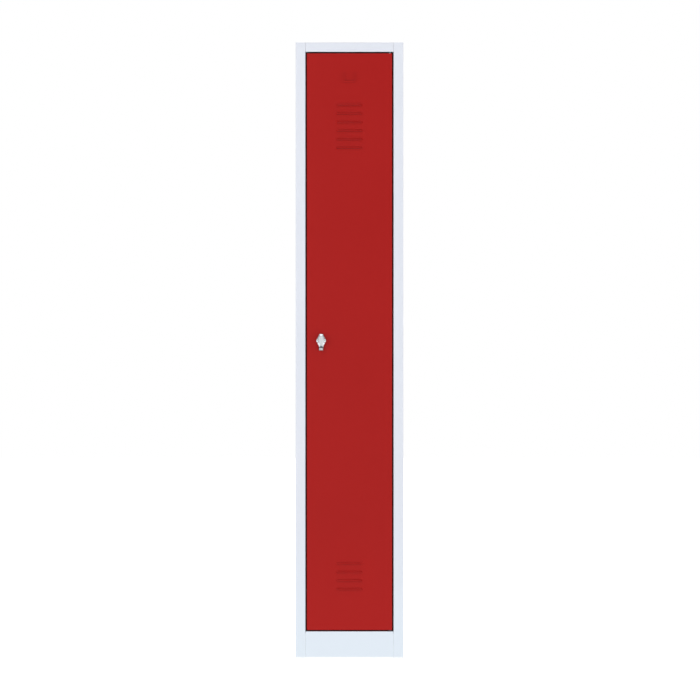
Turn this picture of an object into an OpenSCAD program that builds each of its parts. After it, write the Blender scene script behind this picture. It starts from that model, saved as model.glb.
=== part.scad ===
// Steel clothes locker with one door: a folded sheet carcass on a plinth, a door with pressed
// louvres that swings on concealed pins, a turning latch that takes a padlock, a hat shelf and
// a coat rail with sliding hooks. Millimetres, Z up, front towards -Y. The origin is on the
// floor, in the middle of the overall footprint with the latch counted in.

/* [Carcass] */
// Width over both side panels
body_w = 315; // [260:5:420]
// Depth from the front frame to the rear flanges
body_d = 500; // [400:10:600]
// Height from the floor to the top
body_h = 1800; // [1700:10:2000]
// Thickness of the carcass sheet
sheet_t = 0.8; // [0.6:0.1:1.2]
// Outside radius of every fold
fold_r = 1.5; // [1.4:0.1:2.2]
// Width of the flanges along the top, the rear and the base
flange_w = 15; // [12:1:20]
// Gap where the edge of one sheet stops short of another sheet
seam = 0.2; // [0.1:0.05:0.4]

/* [Front frame] */
// Width of the stile on each side of the opening
stile_w = 28.75; // [24:0.25:36]
// Height of the rail above the opening
rail_h = 27.5; // [24:0.5:40]
// Height of the plinth below the opening
plinth_h = 78; // [60:1:120]
// Depth from the face of the frame to the door stop
rebate_d = 20; // [19:1:26]
// Width of the door stop round the opening
stop_w = 12; // [10:1:15]

/* [Fixing holes] */
// Diameter of the holes that bolt a row of lockers together
link_hole_d = 7; // [5:0.5:9]
// Distance of those holes from the front and the rear of the side panel
link_hole_in = 60; // [45:5:120]
// Distance of those holes from the floor and the top
link_hole_up = 150; // [120:10:300]
// Diameter of the holes that fix the back to a wall
wall_hole_d = 8; // [6:0.5:10]
// Distance between the two wall holes
wall_hole_pitch = 200; // [120:10:220]
// Distance of the wall holes from the top
wall_hole_drop = 60; // [40:5:120]

/* [Door] */
// Thickness of the door sheet
door_t = 1; // [0.8:0.1:1.2]
// Gap between door and stile on the latch side
latch_gap = 4; // [2:0.5:5]
// Gap between door and stile on the hinge side
hinge_gap = 4; // [3.5:0.5:6]
// Gap above the door
top_gap = 4; // [2.5:0.5:5]
// Gap below the door
sill_gap = 3.5; // [2.5:0.5:6]
// Space between the back of the door and the door stop
buffer_space = 2; // [1.5:0.5:3]
// Width of the lip folded in round the back of the door
door_lip = 12; // [10:1:16]
// Width of the stiffener's crown
stiffener_w = 46; // [30:2:60]
// Width of each welded flange of the stiffener
stiffener_flange = 12; // [8:1:16]
// Depth of the stiffener
stiffener_d = 14; // [8:1:15]
// Distance that the stiffener keeps from the louvres
stiffener_clear = 30; // [10:5:80]

/* [Louvres] */
// Length of one louvre
louvre_l = 77; // [50:1:110]
// Height of the pressed hood
louvre_h = 5.5; // [4:0.5:8]
// Distance that the hood stands proud of the door
louvre_proud = 3; // [2:0.5:4]
// Distance from one louvre to the next
louvre_pitch = 25; // [16:1:35]
// Number of louvres in the upper group
louvres_high = 6; // [1:1:8]
// Number of louvres in the lower group
louvres_low = 4; // [1:1:8]
// Distance from the top of the door to the highest slit
louvre_drop = 153.5; // [140:0.5:200]
// Distance from the bottom of the door to the lowest slit
louvre_rise = 118; // [60:1:200]

/* [Card holder] */
// Width of the card that fits the holder
card_w = 33; // [25:1:60]
// Height of the card
card_h = 28; // [20:1:40]
// Room for the card between door and holder
card_slot = 0.7; // [0.5:0.1:1]
// Thickness of the holder's face and walls
holder_t = 1.3; // [0.8:0.1:2]
// Overlap of the holder's face over the card
holder_lip = 3; // [2:0.5:5]
// Distance from the top of the door to the bottom of the holder
holder_drop = 85; // [70:1:110]

/* [Hinges] */
// Distance of the hinge axis from the edge and from the face of the door
hinge_in = 6; // [6:0.1:6.5]
// Diameter of the hinge pins
pin_d = 6; // [4:0.5:6]
// Radial play of a pin in its bush
pin_play = 0.05; // [0.02:0.01:0.1]
// Wall of a bush
bush_wall = 1.5; // [1:0.1:1.5]
// Width that the collar of a bush stands out
bush_collar = 1; // [0.5:0.1:1]
// Length of a bush inside the frame
bush_l = 7; // [5:0.5:12]
// Thickness of the collar of the upper bush
upper_collar_t = 2; // [1:0.1:2]
// Thickness of the head that holds a pin in the door
pin_head_t = 2.5; // [1.5:0.5:4]
// Width that the head stands out round the pin
pin_head_rim = 1.8; // [1:0.1:1.8]

/* [Latch] */
// Height of the latch's axis above the floor
latch_z = 928; // [850:1:1000]
// Distance from the edge of the door to the latch's axis
latch_in = 42; // [38:1:50]
// Width of the knob
knob_w = 28; // [26:0.5:34]
// Length of the knob
knob_l = 38.4; // [34:0.2:44]
// Width of the knob's two ends
knob_end_w = 13; // [10:0.2:16]
// Length of the narrow end of the knob, up to where it widens
knob_end_l = 4; // [3.5:0.5:6]
// Radius of the corners at the knob's ends
knob_corner_r = 3; // [0.5:0.5:3]
// Radius of the rounded corner on each side of the knob
knob_side_r = 6; // [2:0.5:8]
// Thickness of the knob's plate
knob_t = 4.7; // [3:0.1:6]
// Height of the bevel on the knob's face
bevel_h = 3.5; // [1:0.5:5]
// Width of the bevel round the knob's face
bevel_w = 5; // [2:0.5:6]
// Thickness of each ear on the knob
ear_t = 4.5; // [3:0.5:6]
// Width of each ear
ear_w = 13; // [11:0.5:13.5]
// Diameter of the padlock holes
shackle_hole_d = 8.5; // [6:0.5:9]
// Distance of the padlock holes in front of the door
shackle_out = 19.25; // [17:0.25:24]
// Width of the fixed staple
staple_w = 13.5; // [12:0.5:16]
// Height of the fixed staple
staple_h = 7.5; // [5:0.5:10]
// Gap between the staple and the circle that the knob's ends turn in
staple_gap = 1.25; // [0.4:0.05:2]
// Diameter of the rosette behind the knob
rosette_d = 24; // [20:1:28]
// Thickness of the rosette
rosette_t = 3; // [2:0.5:4]
// Diameter of the barrel through the door
barrel_d = 16; // [14:0.5:18]
// Play of the barrel in the door and in its nut
barrel_play = 0.1; // [0.05:0.05:0.3]
// Width of the nut across its flats
nut_af = 22; // [21:0.5:26]
// Thickness of the nut
nut_t = 5; // [3:0.5:8]
// Diameter of the spindle
spindle_d = 10; // [8:0.5:11]
// Radial play of the spindle in the barrel
spindle_play = 0.05; // [0.02:0.01:0.1]
// Gap between turning and fixed faces
run_gap = 0.3; // [0.2:0.1:0.6]
// Gap between the cam and the back of the door stop
cam_gap = 0.7; // [0.5:0.1:2]
// Length of the cam that bites behind the door stop
cam_bite = 9; // [5:0.5:10]
// Width of the cam's arm
cam_w = 16; // [12:1:20]
// Thickness of the cam
cam_t = 2.5; // [2:0.5:4]
// Width of the square drive between spindle and cam
drive_w = 6.5; // [5:0.5:7]
// Diameter of the cam's washer
washer_d = 14; // [12:1:18]
// Thickness of the cam's washer
washer_t = 1.2; // [1:0.1:2]
// Diameter of the cam's screw
screw_d = 4; // [3:0.5:4]
// Diameter of the screw's head
screw_head_d = 8; // [6:0.5:10]
// Thickness of the screw's head
screw_head_t = 3; // [2:0.5:4]
// Length of the screw in the spindle
screw_l = 8; // [6:1:12]

/* [Door buffers] */
// Diameter of a rubber buffer
buffer_d = 8; // [6:0.5:9]
// Diameter of the stem through the door stop
buffer_stem_d = 4; // [3:0.5:5]
// Thickness of the bead that holds a buffer behind the stop
buffer_bead_t = 1.5; // [1:0.5:3]
// Width that the bead stands out round the stem
buffer_bead_rim = 1; // [0.5:0.1:1.5]
// Distance of the buffers from the ends of the door
buffer_in = 220; // [100:10:400]

/* [Hat shelf] */
// Distance from the top of the locker to the shelf
shelf_drop = 320; // [240:10:400]
// Depth of the shelf's folded edges
shelf_edge = 22; // [16:1:30]
// Width of the lip under the shelf's front edge
shelf_lip = 8; // [5:1:12]
// Distance from the door stop to the shelf
shelf_back = 10; // [5:1:60]

/* [Coat rail] */
// Height of the oval tube
rail_tall = 30; // [24:1:34]
// Thickness of the oval tube
rail_thick = 15; // [12:1:18]
// Wall of the oval tube
rail_wall = 1.2; // [1:0.1:2]
// Distance from the shelf down to the middle of the tube
rail_drop = 50; // [45:1:80]
// Play of the tube in its brackets
rail_play = 0.2; // [0.1:0.05:0.3]
// Gap between the tube's ends and the side panels
rail_end_gap = 0.5; // [0.3:0.1:1]
// Width of a bracket
bracket_w = 40; // [36:1:60]
// Thickness of a bracket
bracket_t = 1.5; // [1:0.1:3]

/* [Coat hooks] */
// Distance from one hook to the next at rest
hook_pitch = 70; // [50:1:70]
// Width of a hook along the rail
hook_w = 12; // [8:1:16]
// Wall of the eye round the rail
hook_wall = 3; // [2:0.5:4]
// Play of the eye on the rail
hook_play = 0.4; // [0.3:0.1:0.6]
// Length of the stem below the eye
hook_stem_l = 22; // [19:1:40]
// Thickness of the stem
hook_stem_t = 5; // [4:0.5:6]
// Inside radius of the two prongs
prong_r = 12; // [10:0.5:18]
// Thickness of the prongs
prong_t = 5; // [4:0.5:6]

/* [Hidden] */

$fn = 64;
over = 1; // length by which a cut runs past what it cuts

// Colours of the finishes
light_grey = "#e4e9f0";
signal_red = "#aa2522";
bright_chrome = "#d5d7da";
zinc = "#b9bcc0";
black_rubber = "#26272a";
dark_plastic = "#3a3c40";

// Outline of the carcass
half_w = body_w / 2;
open_half = half_w - stile_w;
shackle_nose = max(staple_w, ear_w) / 2;
latch_proud = shackle_out + shackle_nose;
front_y = (latch_proud - body_d) / 2;
back_y = front_y + body_d;
mid_y = (front_y + back_y) / 2;
stop_y = front_y + rebate_d;
behind_stop_y = stop_y + sheet_t + seam;
open_top = body_h - rail_h;
floor_z = plinth_h - sheet_t;
inside_back_y = back_y - 2 * sheet_t;

// Outline of the door
door_x0 = latch_gap - open_half;
door_x1 = open_half - hinge_gap;
door_mid_x = (door_x0 + door_x1) / 2;
door_w = door_x1 - door_x0;
door_z0 = plinth_h + sill_gap;
door_z1 = open_top - top_gap;
door_h = door_z1 - door_z0;
door_d = rebate_d - buffer_space;

// Hinge axis, pins and bushes
hinge_x = door_x1 - hinge_in;
hinge_y = front_y + hinge_in;
bush_bore_r = pin_d / 2 + pin_play;
bush_r = bush_bore_r + bush_wall;
collar_r = bush_r + bush_collar;
lower_collar_t = sill_gap - seam;

// Latch
latch_x = door_x0 + latch_in;
knob_back = rosette_t + run_gap;
knob_face = knob_back + knob_t;
knob_top = knob_face + bevel_h;
knob_end_x = knob_end_w / 2;
knob_end_z = knob_l / 2;
knob_sweep = norm([knob_end_x - knob_corner_r, knob_end_z - knob_corner_r]) + knob_corner_r;
staple_top = knob_sweep + staple_gap;
cam_front = rebate_d + sheet_t + cam_gap;
cam_back = cam_front + cam_t;
cam_reach = latch_in + latch_gap - stop_w + cam_bite;
barrel_end = cam_front - run_gap;
spindle_bore_r = spindle_d / 2 + spindle_play;

// Shelf, rail and hooks
shelf_z = body_h - shelf_drop;
shelf_y = stop_y + sheet_t + shelf_back;
shelf_half = half_w - 2 * sheet_t;
rail_z = shelf_z - rail_drop;
rail_round = rail_thick / 2;
rail_straight = rail_tall - rail_thick;
prong_z = rail_z - rail_tall / 2 - hook_play - hook_wall - hook_stem_l + prong_r;

// A block between two opposite corners
module block(low, high) {
    translate(low)
        cube(high - low);
}

// Stands a section drawn across X and Y up along Z
module along_z(z0, z1) {
    translate([0, 0, z0])
        linear_extrude(z1 - z0)
            children();
}

// Runs a section drawn across Y and Z along X
module along_x(x0, x1) {
    translate([x0, 0, 0])
        rotate([90, 0, 90])
            linear_extrude(x1 - x0)
                children();
}

// Runs a section drawn across X and Z along Y
module along_y(y0, y1) {
    translate([0, y1, 0])
        rotate([90, 0, 0])
            linear_extrude(y1 - y0)
                children();
}

// A flat stretch of folded sheet, with its thickness on the left of the way from a to b
module fold_flat(a, b, cut_a, cut_b, t) {
    translate(a)
        rotate(atan2(b.y - a.y, b.x - a.x))
            translate([cut_a, 0])
                square([norm(b - a) - cut_a - cut_b, t]);
}

// The quarter round of a fold, where side is 1 on a left turn and -1 on a right turn
module fold_bend(p, heading, side, t) {
    back = side > 0 ? fold_r : fold_r - t;
    translate(p)
        rotate(heading)
            translate([-back, side * back])
                intersection() {
                    difference() {
                        circle(fold_r);
                        circle(fold_r - t);
                    }
                    translate([0, side > 0 ? -fold_r : 0])
                        square(fold_r);
                }
}

// The section of a sheet folded at right angles along a path on its outer face
module folded(path, t) {
    last = len(path) - 1;
    way = [for (i = [0:last - 1]) path[i + 1] - path[i]];
    heading = [for (w = way) atan2(w.y, w.x)];
    turn = [for (i = [0:last]) i == 0 || i == last ? 0 : sin(heading[i] - heading[i - 1])];
    cut = [for (side = turn) side == 0 ? 0 : side > 0 ? fold_r : fold_r - t];
    for (i = [0:last - 1])
        fold_flat(path[i], path[i + 1], cut[i], cut[i + 1], t);
    for (i = [1:last - 1])
        fold_bend(path[i], heading[i - 1], turn[i], t);
}

// A rectangle with its corner on the origin and all four corners rounded
module soft_rectangle(w, h, r) {
    translate([r, 0])
        square([w - 2 * r, h]);
    translate([0, r])
        square([w, h - 2 * r]);
    for (x = [r, w - r], y = [r, h - r])
        translate([x, y])
            circle(r);
}

// The outer form of a folded tray that stands upright with its face on the plane Y = 0
module tray_form(w, d, h, r) {
    intersection() {
        along_z(0, h)
            soft_rectangle(w, d, r);
        along_x(0, w)
            soft_rectangle(d, h, r);
    }
}

// An upright stadium across X and Y with round ends
module stadium(round_r, straight) {
    translate([-round_r, -straight / 2])
        square([2 * round_r, straight]);
    for (side = [-1, 1])
        translate([0, side * straight / 2])
            circle(round_r);
}

// A side panel for the left: rear flange, wall, stile, return and door stop from one sheet
module side_panel() {
    path = [
        [flange_w - half_w, back_y],
        [-half_w, back_y],
        [-half_w, front_y],
        [-open_half, front_y],
        [-open_half, stop_y],
        [stop_w - open_half, stop_y]
    ];
    difference() {
        union() {
            along_z(0, body_h)
                folded(path, sheet_t);
            block([-half_w, behind_stop_y, 0], [flange_w - half_w, inside_back_y - seam, sheet_t]);
        }
        // The return and the door stop end under the sheet of the top panel
        block(
            [-open_half - fold_r, front_y + fold_r, body_h - sheet_t - seam],
            [stop_w - open_half + over, behind_stop_y, body_h + over]
        );
        for (y = [front_y + link_hole_in, back_y - link_hole_in])
            for (z = [link_hole_up, body_h - link_hole_up])
                translate([-half_w - over, y, z])
                    rotate([0, 90, 0])
                        cylinder(h = sheet_t + 2 * over, d = link_hole_d);
    }
}

// Room for the door stops of the side panels at both ends of a rail with a door stop
module stop_notches(z0, z1) {
    for (side = [0, 1])
        mirror([side, 0, 0])
            block(
                [open_half - stop_w - seam, stop_y - fold_r + sheet_t - seam, z0],
                [open_half + over, stop_y + sheet_t + over, z1]
            );
}

// Heights of the rubber buffers on the door stop
buffer_levels = [door_z0 + buffer_in, door_z1 - buffer_in];
buffer_x = stop_w / 2 - open_half;

module left_side_panel() {
    color(light_grey)
        difference() {
            side_panel();
            for (z = buffer_levels)
                translate([buffer_x, stop_y - over, z])
                    rotate([-90, 0, 0])
                        cylinder(h = sheet_t + 2 * over, d = buffer_stem_d + 2 * seam);
        }
}

module right_side_panel() {
    color(light_grey)
        mirror([1, 0, 0])
            side_panel();
}

module top_panel() {
    rail_path = [
        [mid_y, body_h],
        [front_y, body_h],
        [front_y, open_top],
        [stop_y, open_top],
        [stop_y, open_top - stop_w]
    ];
    rear_path = [[back_y, body_h - flange_w], [back_y, body_h], [mid_y, body_h]];
    side_x = half_w - sheet_t;
    sides_path = [
        [side_x, body_h - flange_w],
        [side_x, body_h],
        [-side_x, body_h],
        [-side_x, body_h - flange_w]
    ];
    color(light_grey) {
        difference() {
            along_x(seam - open_half, open_half - seam)
                folded(rail_path, sheet_t);
            stop_notches(open_top - stop_w - over, body_h - sheet_t - seam);
            translate([hinge_x, hinge_y, open_top - over])
                cylinder(h = sheet_t + 2 * over, r = bush_r + seam);
        }
        along_x(flange_w + seam - half_w, half_w - flange_w - seam)
            folded(rear_path, sheet_t);
        along_y(front_y + fold_r + seam, inside_back_y - seam)
            folded(sides_path, sheet_t);
    }
}

module plinth() {
    path = [
        [stop_y, plinth_h + stop_w],
        [stop_y, plinth_h],
        [front_y, plinth_h],
        [front_y, 0],
        [front_y + flange_w, 0]
    ];
    color(light_grey)
        difference() {
            along_x(seam - open_half, open_half - seam)
                folded(path, sheet_t);
            stop_notches(floor_z - over, plinth_h + stop_w + over);
            translate([hinge_x, hinge_y, floor_z - over])
                cylinder(h = sheet_t + 2 * over, r = bush_r + seam);
        }
}

module floor_panel() {
    side_x = half_w - sheet_t;
    sides_path = [
        [side_x, floor_z - flange_w],
        [side_x, floor_z],
        [-side_x, floor_z],
        [-side_x, floor_z - flange_w]
    ];
    rear_path = [[inside_back_y, floor_z - flange_w], [inside_back_y, floor_z], [mid_y, floor_z]];
    rear_half = half_w - sheet_t - fold_r;
    tongue_half = open_half - stop_w - seam;
    tongue_y = hinge_y + collar_r + seam;
    color(light_grey) {
        along_y(behind_stop_y, inside_back_y - fold_r)
            folded(sides_path, sheet_t);
        along_x(-rear_half, rear_half)
            folded(rear_path, sheet_t);
        block(
            [-tongue_half, tongue_y, floor_z - sheet_t],
            [tongue_half, behind_stop_y + over, floor_z]
        );
        // Tabs that close the hollows of the stiles
        for (side = [0, 1])
            mirror([side, 0, 0])
                block(
                    [open_half + sheet_t + seam, front_y + fold_r, floor_z - sheet_t],
                    [half_w - sheet_t - fold_r, behind_stop_y + over, floor_z]
                );
    }
}

module back_panel() {
    face_y = back_y - sheet_t;
    path = [[face_y - flange_w, 0], [face_y, 0], [face_y, body_h - sheet_t - seam]];
    panel_half = half_w - fold_r - seam;
    base_half = half_w - flange_w - seam;
    color(light_grey)
        difference() {
            along_x(-panel_half, panel_half)
                folded(path, sheet_t);
            for (side = [0, 1])
                mirror([side, 0, 0])
                    block(
                        [base_half, face_y - flange_w - over, -over],
                        [half_w, back_y, fold_r]
                    );
            for (side = [-1, 1])
                translate([side * wall_hole_pitch / 2, back_y, body_h - wall_hole_drop])
                    rotate([90, 0, 0])
                        cylinder(h = 2 * sheet_t + over, d = wall_hole_d);
        }
}

module hat_shelf() {
    front_path = [
        [inside_back_y, shelf_z - shelf_edge],
        [inside_back_y, shelf_z],
        [shelf_y, shelf_z],
        [shelf_y, shelf_z - shelf_edge],
        [shelf_y + shelf_lip, shelf_z - shelf_edge]
    ];
    side_x = half_w - sheet_t;
    sides_path = [
        [side_x, shelf_z - shelf_edge],
        [side_x, shelf_z],
        [-side_x, shelf_z],
        [-side_x, shelf_z - shelf_edge]
    ];
    front_half = side_x - fold_r;
    color(light_grey) {
        along_x(-front_half, front_half)
            folded(front_path, sheet_t);
        along_y(shelf_y + fold_r, inside_back_y - fold_r)
            folded(sides_path, sheet_t);
    }
}

// A plate for the left that hangs from the shelf's folded side and holds the coat rail
module rail_bracket() {
    bracket_top = shelf_z - sheet_t - fold_r;
    translate([-shelf_half, mid_y, rail_z])
        along_x(0, bracket_t)
            difference() {
                union() {
                    circle(d = bracket_w);
                    translate([-bracket_w / 2, 0])
                        square([bracket_w, bracket_top - rail_z]);
                }
                stadium(rail_round + rail_play, rail_straight);
            }
}

module rail_bracket_left() {
    color(light_grey)
        rail_bracket();
}

module rail_bracket_right() {
    color(light_grey)
        mirror([1, 0, 0])
            rail_bracket();
}

module coat_rail() {
    rail_half = half_w - sheet_t - rail_end_gap;
    color(zinc)
        translate([0, mid_y, rail_z])
            along_x(-rail_half, rail_half)
                difference() {
                    stadium(rail_round, rail_straight);
                    stadium(rail_round - rail_wall, rail_straight);
                }
}

// An eye round the rail with a stem and two upturned prongs below it
module coat_hook(x) {
    eye_r = rail_round + hook_play + hook_wall;
    stem_top = rail_z - rail_tall / 2 - hook_play - hook_wall / 2;
    outer_r = prong_r + prong_t;
    tip_r = prong_t / 2;
    color(dark_plastic)
        translate([x, mid_y, 0])
            along_x(-hook_w / 2, hook_w / 2) {
                translate([0, rail_z])
                    difference() {
                        stadium(eye_r, rail_straight);
                        stadium(eye_r - hook_wall, rail_straight);
                    }
                translate([-hook_stem_t / 2, prong_z - prong_r - prong_t / 2])
                    square([hook_stem_t, stem_top - prong_z + prong_r + prong_t / 2]);
                translate([0, prong_z])
                    difference() {
                        circle(outer_r);
                        circle(prong_r);
                        translate([-outer_r - over, 0])
                            square([2 * (outer_r + over), outer_r + over]);
                    }
                for (side = [-1, 1])
                    translate([side * (prong_r + tip_r), prong_z])
                        circle(tip_r);
            }
}

module coat_hook_left() {
    coat_hook(-hook_pitch);
}

module coat_hook_middle() {
    coat_hook(0);
}

module coat_hook_right() {
    coat_hook(hook_pitch);
}

// A bush on the hinge axis with its collar below z = 0 and its body above
module hinge_bush(collar_t) {
    color(dark_plastic)
        difference() {
            union() {
                cylinder(h = bush_l, r = bush_r);
                translate([0, 0, -collar_t])
                    cylinder(h = collar_t, r = collar_r);
            }
            translate([0, 0, -collar_t - over])
                cylinder(h = bush_l + collar_t + 2 * over, r = bush_bore_r);
        }
}

module upper_hinge_bush() {
    translate([hinge_x, hinge_y, open_top])
        hinge_bush(upper_collar_t);
}

module lower_hinge_bush() {
    translate([hinge_x, hinge_y, plinth_h])
        mirror([0, 0, 1])
            hinge_bush(lower_collar_t);
}

// A pin with its head below z = 0 and its shank above, through the door and into the frame
module hinge_pin(gap) {
    color(zinc) {
        translate([0, 0, -pin_head_t])
            cylinder(h = pin_head_t, r = pin_d / 2 + pin_head_rim);
        cylinder(h = door_t + gap + bush_l, d = pin_d);
    }
}

module upper_hinge_pin() {
    translate([hinge_x, hinge_y, door_z1 - door_t])
        hinge_pin(top_gap);
}

module lower_hinge_pin() {
    translate([hinge_x, hinge_y, door_z0 + door_t])
        mirror([0, 0, 1])
            hinge_pin(sill_gap);
}

// Rubber buttons on the door stop of the latch side, each held by a bead behind the stop
module door_buffers() {
    head_t = buffer_space - run_gap;
    color(black_rubber)
        for (z = buffer_levels)
            translate([buffer_x, stop_y, z])
                rotate([-90, 0, 0]) {
                    translate([0, 0, -head_t])
                        cylinder(h = head_t, d = buffer_d);
                    cylinder(h = sheet_t, d = buffer_stem_d);
                    translate([0, 0, sheet_t])
                        cylinder(h = buffer_bead_t, d = buffer_stem_d + 2 * buffer_bead_rim);
                }
}

// Slits of the louvres, as heights above the floor
louvre_slits = [
    for (i = [0:louvres_high - 1]) door_z1 - louvre_drop - i * louvre_pitch,
    for (i = [0:louvres_low - 1]) door_z0 + louvre_rise + i * louvre_pitch
];
louvre_r = (pow(louvre_proud, 2) + pow(louvre_h, 2)) / (2 * louvre_proud);
louvre_axis_y = front_y + louvre_r - louvre_proud;
louvre_straight = louvre_l - 2 * louvre_h;

// Upper half of a capsule that lies along X, which is the form of a louvre's hood
module hood_form(r) {
    rotate([0, 90, 0])
        rotate([0, 0, 90])
            rotate_extrude(angle = 180)
                intersection() {
                    stadium(r, louvre_straight);
                    translate([0, -louvre_straight])
                        square(2 * louvre_straight);
                }
}

// The folded tray of the door with its pressed louvres and card holder
module door_panel() {
    holder_w = card_w + 2 * holder_t;
    holder_h = card_h + holder_t;
    holder_z = door_z1 - holder_drop;
    holder_out = card_slot + holder_t;
    color(signal_red)
        difference() {
            union() {
                translate([door_x0, front_y, door_z0])
                    difference() {
                        tray_form(door_w, door_d, door_h, fold_r);
                        translate([door_t, door_t, door_t])
                            tray_form(
                                door_w - 2 * door_t,
                                door_d - 2 * door_t,
                                door_h - 2 * door_t,
                                fold_r - door_t
                            );
                        block(
                            [door_lip, door_d - door_t - over, door_lip],
                            [door_w - door_lip, door_d + over, door_h - door_lip]
                        );
                    }
                for (z = louvre_slits)
                    intersection() {
                        translate([door_mid_x, louvre_axis_y, z])
                            hood_form(louvre_r);
                        block(
                            [door_x0, front_y - louvre_proud - over, z - over],
                            [door_x1, front_y + door_t, z + louvre_r]
                        );
                    }
                translate([door_mid_x - holder_w / 2, front_y - holder_out, holder_z])
                    cube([holder_w, holder_out, holder_h]);
            }
            for (z = louvre_slits)
                translate([door_mid_x, louvre_axis_y, z])
                    hood_form(louvre_r - door_t);
            // Slot for the card, open at the top
            translate([door_mid_x - card_w / 2, front_y - card_slot, holder_z + holder_t])
                cube([card_w, card_slot, card_h + over]);
            // Window in front of the card
            translate([
                door_mid_x - card_w / 2 + holder_lip,
                front_y - holder_out - over,
                holder_z + holder_t + holder_lip
            ])
                cube([card_w - 2 * holder_lip, holder_out + over, card_h]);
            // Holes for the latch and the hinge pins
            translate([latch_x, front_y - over, latch_z])
                rotate([-90, 0, 0])
                    cylinder(h = door_t + 2 * over, r = barrel_d / 2 + barrel_play);
            for (z = [door_z0, door_z1])
                translate([hinge_x, hinge_y, z])
                    cylinder(h = 4 * door_t, d = pin_d, center = true);
        }
}

module door_stiffener() {
    inner_y = front_y + door_t;
    crown_y = inner_y + stiffener_d - sheet_t;
    crown_x = stiffener_w / 2;
    edge_x = crown_x + stiffener_flange;
    low_z = door_z0 + louvre_rise + (louvres_low - 1) * louvre_pitch + louvre_h + stiffener_clear;
    high_z = door_z1 - louvre_drop - (louvres_high - 1) * louvre_pitch - stiffener_clear;
    path = [
        [-edge_x, inner_y],
        [-crown_x, inner_y],
        [-crown_x, crown_y],
        [crown_x, crown_y],
        [crown_x, inner_y],
        [edge_x, inner_y]
    ];
    color(signal_red)
        translate([door_mid_x, 0, 0])
            along_z(low_z, high_z)
                folded(path, sheet_t);
}

// Places what is drawn about the latch's axis, with -Y towards the front
module at_latch() {
    translate([latch_x, front_y, latch_z])
        children();
}

// A round bar along the latch's axis between two distances behind the face of the door
module latch_bar(from_y, to_y, r) {
    translate([0, from_y, 0])
        rotate([-90, 0, 0])
            cylinder(h = to_y - from_y, r = r);
}

// Rosette, threaded barrel and the fixed staple of the latch in one casting
module lock_base() {
    staple_bottom = staple_top + staple_h;
    color(bright_chrome)
        at_latch()
            difference() {
                union() {
                    latch_bar(-rosette_t, 0, rosette_d / 2);
                    latch_bar(0, barrel_end, barrel_d / 2);
                    block([-staple_w / 2, -rosette_t, -staple_bottom], [staple_w / 2, 0, 0]);
                    block(
                        [-staple_w / 2, -shackle_out, -staple_bottom],
                        [staple_w / 2, 0, -staple_top]
                    );
                    translate([0, -shackle_out, -staple_bottom])
                        cylinder(h = staple_h, d = staple_w);
                }
                latch_bar(-rosette_t - over, barrel_end + over, spindle_bore_r);
                translate([0, -shackle_out, -staple_bottom - over])
                    cylinder(h = staple_h + 2 * over, d = shackle_hole_d);
            }
}

module lock_nut() {
    color(zinc)
        at_latch()
            translate([0, door_t, 0])
                rotate([-90, 0, 0])
                    difference() {
                        cylinder(h = nut_t, r = nut_af / sqrt(3), $fn = 6);
                        translate([0, 0, -over])
                            cylinder(h = nut_t + 2 * over, r = barrel_d / 2 + barrel_play);
                    }
}

// Outline of the knob: a diamond with rounded sides and narrow ends
module knob_outline() {
    side_x = knob_w / 2 - knob_side_r;
    neck = [knob_end_x, knob_end_z - knob_end_l];
    // Direction from the middle of a rounded side to where the slope from the neck touches it
    slope = neck - [side_x, 0];
    touch = atan2(slope.y, slope.x) - acos(knob_side_r / norm(slope));
    quarter = [
        [knob_end_x - knob_corner_r, knob_end_z],
        [knob_end_x, knob_end_z - knob_corner_r],
        neck,
        [side_x + knob_side_r * cos(touch), knob_side_r * sin(touch)]
    ];
    polygon([
        for (p = quarter) p,
        for (i = [3:-1:0]) [quarter[i].x, -quarter[i].y],
        for (p = quarter) -p,
        for (i = [3:-1:0]) [-quarter[i].x, quarter[i].y]
    ]);
    for (side = [-1, 1]) {
        translate([side * side_x, 0])
            circle(knob_side_r);
        for (end = [-1, 1])
            translate([side * (knob_end_x - knob_corner_r), end * (knob_end_z - knob_corner_r)])
                circle(knob_corner_r);
    }
}

// Turning knob with two ears for the padlock, and the spindle that carries the cam
module lock_knob() {
    color(bright_chrome)
        at_latch() {
            along_y(-knob_face, -knob_back)
                knob_outline();
            translate([0, -knob_face, 0])
                rotate([90, 0, 0])
                    linear_extrude(
                        bevel_h,
                        slices = 1,
                        scale = [1 - 2 * bevel_w / knob_w, 1 - 2 * bevel_w / knob_l]
                    )
                        knob_outline();
            difference() {
                intersection() {
                    for (side = [0, 1])
                        mirror([side, 0, 0])
                            translate([knob_w / 2 - ear_t, 0, 0]) {
                                block([0, -shackle_out, -ear_w / 2], [ear_t, -knob_face, ear_w / 2]);
                                translate([0, -shackle_out, 0])
                                    rotate([0, 90, 0])
                                        cylinder(h = ear_t, d = ear_w);
                            }
                    along_y(-shackle_out - ear_w, -knob_back)
                        knob_outline();
                }
                translate([0, -shackle_out, 0])
                    rotate([0, 90, 0])
                        cylinder(h = knob_w + 2 * over, d = shackle_hole_d, center = true);
            }
            difference() {
                union() {
                    latch_bar(-knob_back, cam_front, spindle_d / 2);
                    block(
                        [-drive_w / 2, cam_front - over, -drive_w / 2],
                        [drive_w / 2, cam_back, drive_w / 2]
                    );
                }
                latch_bar(cam_back - screw_l, cam_back + over, screw_d / 2);
            }
        }
}

// Flat cam that hangs down at rest and points at the stile when the knob is turned
module lock_cam() {
    hub_r = cam_w / 2 + 1;
    color(zinc)
        at_latch()
            along_y(cam_front, cam_back)
                difference() {
                    union() {
                        circle(hub_r);
                        translate([-cam_w / 2, cam_w / 2 - cam_reach])
                            square([cam_w, cam_reach - cam_w / 2]);
                        translate([0, cam_w / 2 - cam_reach])
                            circle(cam_w / 2);
                    }
                    square(drive_w, center = true);
                }
}

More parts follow.
